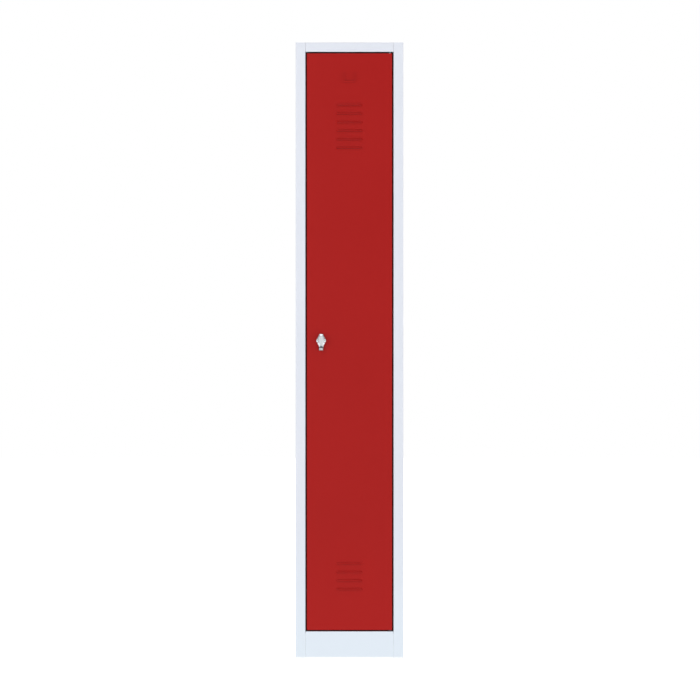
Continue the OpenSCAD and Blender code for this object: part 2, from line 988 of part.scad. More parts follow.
module cam_washer() {
    color(zinc)
        at_latch()
            difference() {
                latch_bar(cam_back, cam_back + washer_t, washer_d / 2);
                latch_bar(cam_back - over, cam_back + washer_t + over, screw_d / 2);
            }
}

module cam_screw() {
    head_y = cam_back + washer_t;
    color(zinc)
        at_latch() {
            latch_bar(head_y, head_y + screw_head_t, screw_head_d / 2);
            latch_bar(cam_back - screw_l, head_y, screw_d / 2);
        }
}

left_side_panel();
right_side_panel();
top_panel();
plinth();
floor_panel();
back_panel();
hat_shelf();
rail_bracket_left();
rail_bracket_right();
coat_rail();
upper_hinge_bush();
lower_hinge_bush();
door_buffers();
door_panel();
door_stiffener();
upper_hinge_pin();
lower_hinge_pin();
lock_base();
lock_nut();
lock_knob();
lock_cam();
cam_washer();
cam_screw();
coat_hook_left();
coat_hook_middle();
coat_hook_right();
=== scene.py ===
from math import cos, pi, radians, sin

import bmesh
import bpy
from mathutils import Matrix, Vector


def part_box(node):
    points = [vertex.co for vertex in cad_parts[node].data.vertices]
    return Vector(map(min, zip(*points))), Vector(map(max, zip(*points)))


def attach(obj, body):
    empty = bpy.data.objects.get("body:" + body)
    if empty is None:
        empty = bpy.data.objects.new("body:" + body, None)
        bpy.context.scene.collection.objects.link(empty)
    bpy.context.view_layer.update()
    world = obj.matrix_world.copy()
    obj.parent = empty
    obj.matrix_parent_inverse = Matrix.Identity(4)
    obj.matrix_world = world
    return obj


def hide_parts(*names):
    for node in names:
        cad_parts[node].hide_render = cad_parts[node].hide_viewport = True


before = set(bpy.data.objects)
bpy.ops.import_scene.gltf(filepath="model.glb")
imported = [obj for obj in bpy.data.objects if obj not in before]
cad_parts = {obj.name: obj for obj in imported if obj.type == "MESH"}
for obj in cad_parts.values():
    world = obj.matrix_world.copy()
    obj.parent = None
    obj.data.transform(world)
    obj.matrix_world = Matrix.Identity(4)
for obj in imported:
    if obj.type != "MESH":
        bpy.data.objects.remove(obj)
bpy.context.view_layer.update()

# ---------------------------------------------------------------- carcass
# Cold rolled steel sheet 0.8 mm thick, folded and spot welded. The whole carcass is sprayed
# with light grey polyester powder and baked, which gives a satin skin with a faint orange
# peel, slightly uneven in shade and gloss.
MM = 0.001
# The band above the floor in which a painted light, as if from the floor, fades out of the coat
LIT_FOOT_LOW, LIT_FOOT_HIGH = 30 * MM, 400 * MM
# Heights at which the open gap round the door gives way to the joints of plinth and rail
PLINTH_LOW, PLINTH_HIGH = 70 * MM, 76 * MM
RAIL_LOW, RAIL_HIGH = 1772 * MM, 1776 * MM


def linear(colour):
    """An sRGB hex colour as the linear values that the shaders take."""
    parts = [int(colour[i:i + 2], 16) / 255 for i in (1, 3, 5)]
    return [p / 12.92 if p <= 0.04045 else ((p + 0.055) / 1.055) ** 2.4 for p in parts] + [1]


def feed(node, sockets):
    """Links a node's inputs to other nodes' outputs, or fills in their values."""
    for name, source in sockets.items():
        if isinstance(source, bpy.types.NodeSocket):
            node.id_data.links.new(source, node.inputs[name])
        else:
            node.inputs[name].default_value = source


def add_node(tree, kind, sockets=None, **settings):
    """Adds a node, sets its properties, and links or fills in its inputs."""
    made = tree.nodes.new(kind)
    for name, value in settings.items():
        setattr(made, name, value)
    feed(made, sockets or {})
    return made


def new_finish(name):
    """An empty material with its shader, and the place of each point on the object."""
    material = bpy.data.materials.new(name)
    material.use_nodes = True
    tree = material.node_tree
    tree.nodes.clear()
    shader = add_node(tree, "ShaderNodeBsdfPrincipled")
    add_node(tree, "ShaderNodeOutputMaterial", {"Surface": shader.outputs["BSDF"]})
    place = add_node(tree, "ShaderNodeTexCoord").outputs["Object"]
    return material, tree, shader, place


def powder_coat(
    name, colour, thin, floor_lit_foot, joint_light, gap_shade, shade_reach, shade_open, peel_size, roughness,
):
    """Baked polyester powder over sheet steel: colour clouds, orange peel and slack sheet, with
    painted shade in gaps and painted light at the foot and the tight joints.
    """
    material, tree, shader, place = new_finish(name)
    # Clouds about 0.3 m wide where the gun laid the powder a shade thicker or thinner
    clouds = add_node(tree, "ShaderNodeTexNoise", {"Vector": place, "Scale": 3.3, "Detail": 3.0})
    # Specks of about 3 mm, coarser than the grains of powder so that they show
    specks = add_node(
        tree, "ShaderNodeTexNoise", {"Vector": place, "Scale": 330.0, "Detail": 2.0},
    )
    both = add_node(
        tree, "ShaderNodeMath", {0: clouds.outputs["Fac"], 1: specks.outputs["Fac"]},
        operation="MULTIPLY",
    )
    spread = add_node(
        tree, "ShaderNodeMapRange",
        {"Value": both.outputs[0], "From Min": 0.12, "From Max": 0.4},
    )
    tint = add_node(
        tree, "ShaderNodeMix",
        {"Factor": spread.outputs["Result"], "A": linear(thin), "B": linear(colour)},
        data_type="RGBA",
    )
    # Painted light: the coat is lighter and bluer towards the foot, as if lit by the pale floor
    spot = add_node(tree, "ShaderNodeSeparateXYZ", {"Vector": place})
    foot_light_share = add_node(
        tree, "ShaderNodeMapRange",
        {
            "Value": spot.outputs["Z"], "From Min": LIT_FOOT_LOW, "From Max": LIT_FOOT_HIGH,
            "To Min": 1.0, "To Max": 0.0,
        },
    )
    coat_with_foot_light = add_node(
        tree, "ShaderNodeMix",
        {"Factor": foot_light_share.outputs["Result"], "A": tint.outputs[2], "B": linear(floor_lit_foot)},
        data_type="RGBA",
    )
    # Painted shade: the coat turns near black where the ambient occlusion finds an open gap or
    # slit
    depth = add_node(tree, "ShaderNodeAmbientOcclusion", {"Distance": shade_reach}, samples=6)
    shade_share = add_node(
        tree, "ShaderNodeMapRange",
        {
            "Value": depth.outputs["AO"], "From Min": shade_open - 0.4, "From Max": shade_open,
            "To Min": 1.0, "To Max": 0.0,
        },
    )
    # Painted light: at the tight joints of plinth and rail the occluded colour is a light one,
    # which hides their shade
    above_plinth = add_node(
        tree, "ShaderNodeMapRange",
        {"Value": spot.outputs["Z"], "From Min": PLINTH_LOW, "From Max": PLINTH_HIGH},
    )
    below_rail = add_node(
        tree, "ShaderNodeMapRange",
        {
            "Value": spot.outputs["Z"], "From Min": RAIL_LOW, "From Max": RAIL_HIGH,
            "To Min": 1.0, "To Max": 0.1,
        },
    )
    open_part = add_node(
        tree, "ShaderNodeMath",
        {0: above_plinth.outputs["Result"], 1: below_rail.outputs["Result"]},
        operation="MULTIPLY",
    )
    gap_shade_and_joint_light = add_node(
        tree, "ShaderNodeMix",
        {"Factor": open_part.outputs[0], "A": linear(joint_light), "B": linear(gap_shade)},
        data_type="RGBA",
    )
    coat = add_node(
        tree, "ShaderNodeMix",
        {"Factor": shade_share.outputs["Result"], "A": coat_with_foot_light.outputs[2], "B": gap_shade_and_joint_light.outputs[2]},
        data_type="RGBA",
    )
    gloss = add_node(
        tree, "ShaderNodeMapRange",
        {
            "Value": clouds.outputs["Fac"], "From Min": 0.3, "From Max": 0.7,
            "To Min": roughness - 0.03, "To Max": roughness + 0.04,
        },
    )
    # Sheet 0.8 mm thick is never quite flat: waves some 0.25 m long and about 0.05 mm deep
    waves = add_node(tree, "ShaderNodeTexNoise", {"Vector": place, "Scale": 4.0, "Detail": 0.0})
    slack = add_node(
        tree, "ShaderNodeBump",
        {"Height": waves.outputs["Fac"], "Strength": 0.25, "Distance": 0.6 * MM},
    )
    peel = add_node(
        tree, "ShaderNodeTexNoise", {"Vector": place, "Scale": 1 / peel_size, "Detail": 1.0},
    )
    skin = add_node(
        tree, "ShaderNodeBump",
        {
            "Height": peel.outputs["Fac"], "Normal": slack.outputs["Normal"],
            "Strength": 0.4, "Distance": 0.12 * MM,
        },
    )
    feed(shader, {
        "Base Color": coat.outputs[2], "Roughness": gloss.outputs["Result"],
        "Normal": skin.outputs["Normal"], "IOR": 1.5, "Specular IOR Level": 0.2,
    })
    return material


def finish_node(node, material):
    """Gives a CAD solid its material in place of the plain one it came with."""
    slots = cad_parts[node].data.materials
    slots.clear()
    slots.append(material)


# Near black painted shade in the gaps, near white painted light on the joints of plinth and rail,
# and a lighter bluer painted light at the foot
light_grey_powder = powder_coat(
    "light_grey_powder_coat", colour="#e2e5ed", thin="#dde1ea", floor_lit_foot="#dfe8f1",
    joint_light="#fbfdff", gap_shade="#0d0c0d", shade_reach=7 * MM, shade_open=0.92, peel_size=1.6 * MM,
    roughness=0.42,
)
for carcass_node in (
    "left_side_panel", "right_side_panel", "top_panel", "plinth", "floor_panel", "back_panel",
    "hat_shelf", "rail_bracket_left", "rail_bracket_right",
):
    finish_node(carcass_node, light_grey_powder)

# ---------------------------------------------------------------- spot welds
# The sheets are joined by resistance spot welds about 100 mm apart. Each leaves a round
# electrode mark 5 mm across with a low rim, which the powder coat then covers.
SHEET = 0.8 * MM
BRACKET_SHEET = 1.5 * MM
WELD_D = 5.2 * MM
WELD_RIM = 0.4 * MM
REAR_SEAM_X = 149.5 * MM
REAR_SEAM_ENDS = 45 * MM, 1755 * MM
REAR_PITCH = 95 * MM
WALL_SEAM_ENDS = -185 * MM, 235 * MM
WALL_PITCH = 84 * MM
TOP_FLANGE_DROP = 8 * MM
SHELF_EDGE_DROP = 11 * MM
BRACKET_Y = 13 * MM
BRACKET_MARKS_APART = 24 * MM
BRACKET_CLEAR = 30 * MM


def new_tree(name, inputs, output):
    """A tree of geometry nodes with its named inputs, and the node that gives them."""
    tree = bpy.data.node_groups.new(name, "GeometryNodeTree")
    for title, kind in inputs.items():
        tree.interface.new_socket(title, in_out="INPUT", socket_type="NodeSocket" + kind)
    tree.interface.new_socket(output, in_out="OUTPUT", socket_type="NodeSocketGeometry")
    return tree, add_node(tree, "NodeGroupInput")


def end_tree(tree, placed, finish):
    """Ends a tree with real geometry in place of copies, and its finish."""
    real = add_node(
        tree, "GeometryNodeRealizeInstances", {"Geometry": placed.outputs["Instances"]},
    )
    dressed = add_node(
        tree, "GeometryNodeSetMaterial",
        {"Geometry": real.outputs["Geometry"], "Material": finish},
    )
    add_node(tree, "NodeGroupOutput", {0: dressed.outputs["Geometry"]})


weld_tree, weld_in = new_tree(
    "spot_weld_marks",
    {"Places": "Geometry", "Mark radius": "Float", "Rim height": "Float", "Coat": "Material"},
    "Marks",
)
mark_disc = add_node(
    weld_tree, "GeometryNodeMeshCone",
    {
        "Vertices": 20, "Side Segments": 8, "Radius Top": 0.0,
        "Radius Bottom": weld_in.outputs["Mark radius"], "Depth": 0.0,
    },
)
mark_at = add_node(weld_tree, "GeometryNodeInputPosition")
mark_flat = add_node(
    weld_tree, "ShaderNodeVectorMath", {0: mark_at.outputs[0]}, operation="LENGTH",
)
mark_share = add_node(
    weld_tree, "ShaderNodeMath",
    {0: mark_flat.outputs["Value"], 1: weld_in.outputs["Mark radius"]}, operation="DIVIDE",
)
# Seen in section the mark is (6.75 s^2 + 0.4) (1 - s), with s from 0 in the middle to 1: a rim
# at two thirds of the radius round a shallow dish, which ends flush with the sheet
mark_steep = add_node(
    weld_tree, "ShaderNodeMath", {0: mark_share.outputs[0], 1: 6.75}, operation="MULTIPLY",
)
mark_dish = add_node(
    weld_tree, "ShaderNodeMath",
    {0: mark_steep.outputs[0], 1: mark_share.outputs[0], 2: 0.4}, operation="MULTIPLY_ADD",
)
mark_end = add_node(
    weld_tree, "ShaderNodeMath", {0: 1.0, 1: mark_share.outputs[0]}, operation="SUBTRACT",
)
mark_rise = add_node(
    weld_tree, "ShaderNodeMath", {0: mark_dish.outputs[0], 1: mark_end.outputs[0]},
    operation="MULTIPLY",
)
mark_lift = add_node(
    weld_tree, "ShaderNodeMath", {0: mark_rise.outputs[0], 1: weld_in.outputs["Rim height"]},
    operation="MULTIPLY",
)
mark_up = add_node(weld_tree, "ShaderNodeCombineXYZ", {"Z": mark_lift.outputs[0]})
mark_form = add_node(
    weld_tree, "GeometryNodeSetPosition",
    {"Geometry": mark_disc.outputs["Mesh"], "Offset": mark_up.outputs[0]},
)
mark_facing = add_node(
    weld_tree, "GeometryNodeInputNamedAttribute", {"Name": "facing"}, data_type="FLOAT_VECTOR",
)
mark_way = add_node(
    weld_tree, "FunctionNodeAlignRotationToVector", {"Vector": mark_facing.outputs[0]}, axis="Z",
)
mark_set = add_node(
    weld_tree, "GeometryNodeInstanceOnPoints",
    {
        "Points": weld_in.outputs["Places"], "Instance": mark_form.outputs["Geometry"],
        "Rotation": mark_way.outputs["Rotation"],
    },
)
end_tree(weld_tree, mark_set, weld_in.outputs["Coat"])


def new_piece(name, mesh):
    """An object of a mesh, in the scene."""
    piece = bpy.data.objects.new(name, mesh)
    bpy.context.scene.collection.objects.link(piece)
    return piece


def make_plain(piece):
    """Gives a piece the mesh that its modifiers make of it, and removes them."""
    seen = piece.evaluated_get(bpy.context.evaluated_depsgraph_get())
    plain = bpy.data.meshes.new_from_object(seen)
    piece.modifiers.clear()
    piece.data = plain


def grow(name, tree, values, places, facing=None):
    """Runs a tree of geometry nodes on some points and keeps the result as a plain mesh."""
    seeds = bpy.data.meshes.new(name + "_places")
    seeds.from_pydata([tuple(p) for p in places], [], [])
    if facing:
        stored = seeds.attributes.new("facing", "FLOAT_VECTOR", "POINT")
        stored.data.foreach_set("vector", [c for way in facing for c in way])
    piece = new_piece(name, seeds)
    grower = piece.modifiers.new("Grown", "NODES")
    grower.node_group = tree
    sockets = {s.name: s.identifier for s in tree.interface.items_tree if s.in_out == "INPUT"}
    for title, value in values.items():
        grower[sockets[title]] = value
    piece.update_tag()
    make_plain(piece)
    piece.data.name = name
    return piece


def row(start, end, pitch):
    """Evenly spaced distances from start to end, about a pitch apart."""
    count = max(round((end - start) / pitch), 1)
    return [start + (end - start) * i / count for i in range(count + 1)]


side_low, side_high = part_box("right_side_panel")
_, back_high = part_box("back_panel")
_, shelf_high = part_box("hat_shelf")
_, top_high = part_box("top_panel")
wall_in = side_high.x - SHEET
shelf_seam = shelf_high.z - SHELF_EDGE_DROP

weld_places, weld_facing = [], []
for side in (-1, 1):
    # Back panel on the rear flanges of the side panels, seen from inside the locker
    for z in row(*REAR_SEAM_ENDS, REAR_PITCH):
        weld_places.append((side * REAR_SEAM_X, back_high.y - SHEET, z))
        weld_facing.append((0, -1, 0))
    # Flanges of the top, and the folded edges of the shelf but for the bracket, on the walls
    for z in (top_high.z - TOP_FLANGE_DROP, shelf_seam):
        for y in row(*WALL_SEAM_ENDS, WALL_PITCH):
            if z > shelf_high.z or abs(y - BRACKET_Y) > BRACKET_CLEAR:
                weld_places.append((side * (wall_in - SHEET), y, z))
                weld_facing.append((-side, 0, 0))
    # Rail brackets on the shelf's edges
    for y in (BRACKET_Y - BRACKET_MARKS_APART / 2, BRACKET_Y + BRACKET_MARKS_APART / 2):
        weld_places.append((side * (wall_in - SHEET - BRACKET_SHEET), y, shelf_seam))
        weld_facing.append((-side, 0, 0))
weld_values = {"Mark radius": WELD_D / 2, "Rim height": WELD_RIM, "Coat": light_grey_powder}
carcass_welds = grow("carcass_spot_welds", weld_tree, weld_values, weld_places, weld_facing)
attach(carcass_welds, "carcass")

# ---------------------------------------------------------------- coat rail
# Oval steel tube 30 by 15 mm with bright zinc plate: rolled, welded and cut to length, so
# fine draw lines run along it.


def bright_zinc(name, colour, dull, roughness, line_stretch):
    """Clear passivated zinc plate: soft blotches, and fine lines along X where it was drawn."""
    material, tree, shader, place = new_finish(name)
    # Lines 0.7 mm apart, wider than the real scratches so that they show
    drawn = add_node(tree, "ShaderNodeMapping", {"Vector": place, "Scale": line_stretch})
    lines = add_node(
        tree, "ShaderNodeTexNoise",
        {"Vector": drawn.outputs["Vector"], "Scale": 1400.0, "Detail": 1.0},
    )
    # Blotches about 12 mm wide, where the passivation film is a little thicker
    blotches = add_node(
        tree, "ShaderNodeTexNoise", {"Vector": place, "Scale": 85.0, "Detail": 4.0},
    )
    tint = add_node(
        tree, "ShaderNodeMix",
        {"Factor": blotches.outputs["Fac"], "A": linear(dull), "B": linear(colour)},
        data_type="RGBA",
    )
    gloss = add_node(
        tree, "ShaderNodeMapRange",
        {
            "Value": lines.outputs["Fac"], "From Min": 0.3, "From Max": 0.7,
            "To Min": roughness - 0.06, "To Max": roughness + 0.08,
        },
    )
    scratch = add_node(
        tree, "ShaderNodeBump",
        {"Height": lines.outputs["Fac"], "Strength": 0.06, "Distance": 0.04 * MM},
    )
    feed(shader, {
        "Base Color": tint.outputs[2], "Roughness": gloss.outputs["Result"],
        "Normal": scratch.outputs["Normal"], "Metallic": 1.0,
    })
    return material


drawn_zinc = bright_zinc("zinc_plated_tube", "#cfd3d8", "#b4b9c0", 0.3, (0.012, 1, 1))
plated_zinc = bright_zinc("zinc_plated_steel", "#c6cacf", "#a9aeb6", 0.34, (1, 1, 1))
finish_node("coat_rail", drawn_zinc)

# ---------------------------------------------------------------- coat hooks
# Three double hooks moulded in dark glass filled nylon, threaded on the rail before it was
# fitted, so that they slide along it. The mould rounds every edge and has a fine spark grain.


def moulded_nylon(name, colour, worn, grain_size, roughness):
    """Moulded nylon with a spark eroded grain and slightly lighter patches."""
    material, tree, shader, place = new_finish(name)
    # Patches about 17 mm wide, rubbed by what hangs there
    patches = add_node(
        tree, "ShaderNodeTexNoise", {"Vector": place, "Scale": 60.0, "Detail": 3.0},
    )
    tint = add_node(
        tree, "ShaderNodeMix",
        {"Factor": patches.outputs["Fac"], "A": linear(colour), "B": linear(worn)},
        data_type="RGBA",
    )
    grain = add_node(
        tree, "ShaderNodeTexNoise", {"Vector": place, "Scale": 1 / grain_size, "Detail": 2.0},
    )
    skin = add_node(
        tree, "ShaderNodeBump",
        {"Height": grain.outputs["Fac"], "Strength": 0.3, "Distance": 0.06 * MM},
    )
    gloss = add_node(
        tree, "ShaderNodeMapRange",
        {
            "Value": patches.outputs["Fac"], "From Min": 0.3, "From Max": 0.7,
            "To Min": roughness - 0.05, "To Max": roughness + 0.05,
        },
    )
    feed(shader, {
        "Base Color": tint.outputs[2], "Roughness": gloss.outputs["Result"],
        "Normal": skin.outputs["Normal"], "IOR": 1.53,
    })
    return material


def softened(name, node, width, steps=2, cut=None):
    """A copy of a CAD solid with its loose triangles merged and its sharp edges rounded."""
    form = bmesh.new()
    form.from_mesh(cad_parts[node].data)
    bmesh.ops.remove_doubles(form, verts=form.verts, dist=0.002 * MM)
    if cut:
        cut(form)
    bmesh.ops.dissolve_limit(
        form, angle_limit=radians(1), verts=form.verts, edges=form.edges,
    )
    mesh = bpy.data.meshes.new(name)
    form.to_mesh(mesh)
    form.free()
    for old in [a for a in mesh.attributes if a.name == "custom_normal"]:
        mesh.attributes.remove(old)
    mesh.shade_smooth()
    piece = new_piece(name, mesh)
    # The facets of a round hole meet at less than 32 degrees and are left alone
    edge = piece.modifiers.new("Rounded edges", "BEVEL")
    edge.width, edge.segments, edge.angle_limit = width, steps, radians(32)
    edge.limit_method = "ANGLE"
    edge.use_clamp_overlap = True
    # Flat faces stay flat up to the rounding
    flats = piece.modifiers.new("Flat faces", "WEIGHTED_NORMAL")
    flats.mode, flats.weight = "FACE_AREA", 90
    make_plain(piece)
    return piece


def wear(piece, material):
    """Gives a piece one material all over."""
    piece.data.materials.clear()
    piece.data.materials.append(material)
    for face in piece.data.polygons:
        face.material_index = 0


# Nylon is satin from its grain, with a soft sheen on rounded edges
dark_nylon = moulded_nylon("dark_moulded_nylon", "#37393d", "#44474c", 0.5 * MM, 0.46)
for place_name in ("left", "middle", "right"):
    hook = softened(f"moulded_hook_{place_name}", f"coat_hook_{place_name}", 0.9 * MM, 3)
    wear(hook, dark_nylon)
    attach(hook, f"{place_name}_hook")
    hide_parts(f"coat_hook_{place_name}")

# ---------------------------------------------------------------- hinges
# Turned steel pins riveted into the ends of the door turn in flanged bushes of the same dark
# nylon, pressed into the rail and the sill. Only their collars show, above and below the door.
for end in ("upper", "lower"):
    bush = softened(f"turned_bush_{end}", f"{end}_hinge_bush", 0.25 * MM)
    wear(bush, dark_nylon)
    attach(bush, "carcass")
    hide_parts(f"{end}_hinge_bush")
    pin = softened(f"riveted_pin_{end}", f"{end}_hinge_pin", 0.5 * MM, 3)
    wear(pin, plated_zinc)
    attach(pin, "door")
    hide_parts(f"{end}_hinge_pin")

# ---------------------------------------------------------------- door
# One sheet of 1 mm steel folded into a shallow tray, with louvres and a card holder pressed
# into it, and a hat section welded down its back. Signal red powder, satin like the carcass.
# Dark painted shade in the gaps round the door and under its louvres and card holder
signal_red_powder = powder_coat(
    "signal_red_powder_coat", colour="#a70e0a", thin="#a20d09", floor_lit_foot="#a80e0a",
    joint_light="#a20d09", gap_shade="#150303", shade_reach=4 * MM, shade_open=0.61, peel_size=1.6 * MM,
    roughness=0.42,
)
for door_node in ("door_panel", "door_stiffener"):
    finish_node(door_node, signal_red_powder)

FLANGE_MID = 6 * MM
END_MARK = 18 * MM
STIFFENER_PITCH = 100 * MM
stiff_low, stiff_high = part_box("door_stiffener")
weld_places, weld_facing = [], []
for x in (stiff_low.x + FLANGE_MID, stiff_high.x - FLANGE_MID):
    for z in row(stiff_low.z + END_MARK, stiff_high.z - END_MARK, STIFFENER_PITCH):
        weld_places.append((x, stiff_low.y + SHEET, z))
        weld_facing.append((0, 1, 0))
weld_values["Coat"] = signal_red_powder
door_welds = grow("door_spot_welds", weld_tree, weld_values, weld_places, weld_facing)
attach(door_welds, "door")

# ---------------------------------------------------------------- door buffers
# Black rubber buttons pushed into the door stop on the latch side. They are moulded, so their
# edges are round, and rubber is matt with a dusty bloom in specks of 2.5 mm.
rubber, tree, shader, place = new_finish("black_moulded_rubber")
bloom = add_node(tree, "ShaderNodeTexNoise", {"Vector": place, "Scale": 400.0, "Detail": 3.0})
tint = add_node(
    tree, "ShaderNodeMix",
    {"Factor": bloom.outputs["Fac"], "A": linear("#1e1f21"), "B": linear("#303134")},
    data_type="RGBA",
)
skin = add_node(
    tree, "ShaderNodeBump",
    {"Height": bloom.outputs["Fac"], "Strength": 0.2, "Distance": 0.08 * MM},
)
feed(shader, {
    "Base Color": tint.outputs[2], "Normal": skin.outputs["Normal"], "Roughness": 0.78,
})
buffers = softened("rubber_buttons", "door_buffers", 0.45 * MM, 3)
wear(buffers, rubber)
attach(buffers, "carcass")
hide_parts("door_buffers")

# ---------------------------------------------------------------- latch body
# Zinc casting with bright chrome: a rosette, a staple for the padlock below the knob, and a
# barrel through the door whose fine thread takes the hexagon nut.
DOOR_SHEET = 1 * MM
BARREL_R = 8 * MM
SPINDLE_BORE_R = 5.05 * MM
THREAD_PITCH = 1.5 * MM
THREAD_DEPTH = 0.7 * MM
THREAD_INSET = 1.2 * MM
CASTING_BACK = 0.6 * MM
CORE_FRONT = 0.5 * MM
TIP_CHAMFER = 0.6 * MM
MOUTH_CHAMFER = 0.3 * MM
_, base_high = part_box("lock_base")
washer_low, washer_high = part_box("cam_washer")
axis_x, axis_z = (washer_low.x + washer_high.x) / 2, (washer_low.z + washer_high.z) / 2
nut_low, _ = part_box("lock_nut")
door_face = nut_low.y - DOOR_SHEET


def chrome_plate(name, colour, shade, corner_shade, corner_shade_open, roughness):
    """Decorative chrome on a zinc casting: mirror bright, with the casting's soft waves and
    painted shade in its corners.
    """
    material, tree, shader, place = new_finish(name)
    # Patches about 6 mm wide where the chrome film is a little thicker
    film = add_node(tree, "ShaderNodeTexNoise", {"Vector": place, "Scale": 160.0, "Detail": 3.0})
    tint = add_node(
        tree, "ShaderNodeMix",
        {"Factor": film.outputs["Fac"], "A": linear(shade), "B": linear(colour)},
        data_type="RGBA",
    )
    # Painted shade: the plating turns near black in the corners that the ambient occlusion finds
    depth = add_node(tree, "ShaderNodeAmbientOcclusion", {"Distance": 16 * MM}, samples=6)
    shade_share = add_node(
        tree, "ShaderNodeMapRange",
        {
            "Value": depth.outputs["AO"], "From Min": corner_shade_open - 0.35,
            "From Max": corner_shade_open, "To Min": 1.0, "To Max": 0.0,
        },
    )
    plate = add_node(
        tree, "ShaderNodeMix",
        {"Factor": shade_share.outputs["Result"], "A": tint.outputs[2], "B": linear(corner_shade)},
        data_type="RGBA",
    )
    gloss = add_node(
        tree, "ShaderNodeMapRange",
        {
            "Value": film.outputs["Fac"], "From Min": 0.3, "From Max": 0.7,
            "To Min": roughness - 0.03, "To Max": roughness + 0.05,
        },
    )
    # Waves about 5 mm long that polishing leaves in the casting
    waves = add_node(tree, "ShaderNodeTexNoise", {"Vector": place, "Scale": 200.0, "Detail": 1.0})
    skin = add_node(
        tree, "ShaderNodeBump",
        {"Height": waves.outputs["Fac"], "Strength": 0.1, "Distance": 0.04 * MM},
    )
    feed(shader, {
        "Base Color": plate.outputs[2], "Roughness": gloss.outputs["Result"],
        "Normal": skin.outputs["Normal"], "Metallic": 1.0,
    })
    return material


# The knob is polished all over. The body behind it is rubbed dull by padlock and fingers, and its
# painted corner shade reaches further out.
chrome = chrome_plate("bright_chrome_plate", "#e9ebec", "#dcdfe2", "#1a1617", 0.42, 0.2)
rubbed_chrome = chrome_plate("rubbed_chrome_plate", "#c6c9cc", "#b6b9bd", "#1a1617", 0.65, 0.3)


def front_of_door(form):
    """Cuts the casting just behind the door's face and leaves what stands in front."""
    everything = form.verts[:] + form.edges[:] + form.faces[:]
    bmesh.ops.bisect_plane(
        form, geom=everything, plane_co=(0, door_face + CASTING_BACK, 0), plane_no=(0, 1, 0),
        clear_outer=True,
    )


casting = softened("latch_casting", "lock_base", 0.45 * MM, 3, front_of_door)
wear(casting, rubbed_chrome)
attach(casting, "door")
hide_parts("lock_base")

thread_tree, thread_in = new_tree(
    "barrel_thread",
    {
        "Places": "Geometry", "Crest radius": "Float", "Depth": "Float", "Turns": "Float",
        "Length": "Float", "Plate": "Material",
    },
    "Thread",
)
half_depth = add_node(
    thread_tree, "ShaderNodeMath", {0: thread_in.outputs["Depth"], 1: 0.5},
    operation="MULTIPLY",
)
ridge_r = add_node(
    thread_tree, "ShaderNodeMath",
    {0: thread_in.outputs["Crest radius"], 1: half_depth.outputs[0]}, operation="SUBTRACT",
)
helix = add_node(
    thread_tree, "GeometryNodeCurveSpiral",
    {
        "Resolution": 36, "Rotations": thread_in.outputs["Turns"],
        "Height": thread_in.outputs["Length"],
        "Start Radius": ridge_r.outputs[0], "End Radius": ridge_r.outputs[0],
    },
)
ridge = add_node(
    thread_tree, "GeometryNodeCurvePrimitiveCircle",
    {"Resolution": 4, "Radius": half_depth.outputs[0]},
)
swept = add_node(
    thread_tree, "GeometryNodeCurveToMesh",
    {
        "Curve": helix.outputs["Curve"], "Profile Curve": ridge.outputs["Curve"],
        "Fill Caps": True,
    },
)
# The spiral rises along Z, and the barrel lies along Y
thread_set = add_node(
    thread_tree, "GeometryNodeInstanceOnPoints",
    {
        "Points": thread_in.outputs["Places"], "Instance": swept.outputs["Mesh"],
        "Rotation": (radians(-90), 0, 0),
    },
)
end_tree(thread_tree, thread_set, thread_in.outputs["Plate"])
thread_start = door_face + THREAD_INSET
thread_length = base_high.y - thread_start - THREAD_INSET
thread = grow(
    "barrel_thread", thread_tree,
    {
        "Crest radius": BARREL_R, "Depth": THREAD_DEPTH, "Turns": thread_length / THREAD_PITCH,
        "Length": thread_length, "Plate": chrome,
    },
    [(axis_x, thread_start, axis_z)],
)
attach(thread, "door")


def turned(name, profile, steps, material):
    """A ring turned about the latch's axis from a closed outline of (y, radius) points."""
    form = bmesh.new()
    rings = []
    for i in range(steps):
        way = 2 * pi * i / steps
        rings.append([
            form.verts.new((axis_x + r * cos(way), y, axis_z + r * sin(way))) for y, r in profile
        ])
    for i, ring in enumerate(rings):
        after = rings[(i + 1) % steps]
        for j in range(len(profile)):
            k = (j + 1) % len(profile)
            form.faces.new((ring[j], ring[k], after[k], after[j]))
    bmesh.ops.remove_doubles(form, verts=form.verts, dist=0.001 * MM)
    bmesh.ops.recalc_face_normals(form, faces=form.faces)
    mesh = bpy.data.meshes.new(name)
    form.to_mesh(mesh)
    form.free()
    mesh.shade_smooth()
    mesh.set_sharp_from_angle(angle=radians(30))
    piece = new_piece(name, mesh)
    wear(piece, material)
    return piece


core_r = BARREL_R - THREAD_DEPTH
core_start, core_end = door_face + CORE_FRONT, base_high.y
barrel = turned(
    "barrel_core",
    [
        (core_start, core_r), (core_end - TIP_CHAMFER, core_r),
        (core_end, core_r - TIP_CHAMFER), (core_end, SPINDLE_BORE_R + MOUTH_CHAMFER),
        (core_end - MOUTH_CHAMFER, SPINDLE_BORE_R), (core_start, SPINDLE_BORE_R),
    ],
    64, chrome,
)
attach(barrel, "door")

# ---------------------------------------------------------------- latch nut
# Thin hexagon nut pressed from steel, zinc plated, with its corners turned off on both faces.
# Screwed on the barrel from inside, it clamps the door against the rosette.
nut = softened("hexagon_nut", "lock_nut", 0.5 * MM, 2)
wear(nut, plated_zinc)
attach(nut, "door")
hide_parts("lock_nut")

# ---------------------------------------------------------------- knob
# The turning knob with its two padlock ears and spindle is one zinc casting with the same
# bright chrome. Polishing rounds its edges, so they catch the light as a pale rim.
knob = softened("turning_knob", "lock_knob", 0.5 * MM, 3)
wear(knob, chrome)
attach(knob, "latch")
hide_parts("lock_knob")

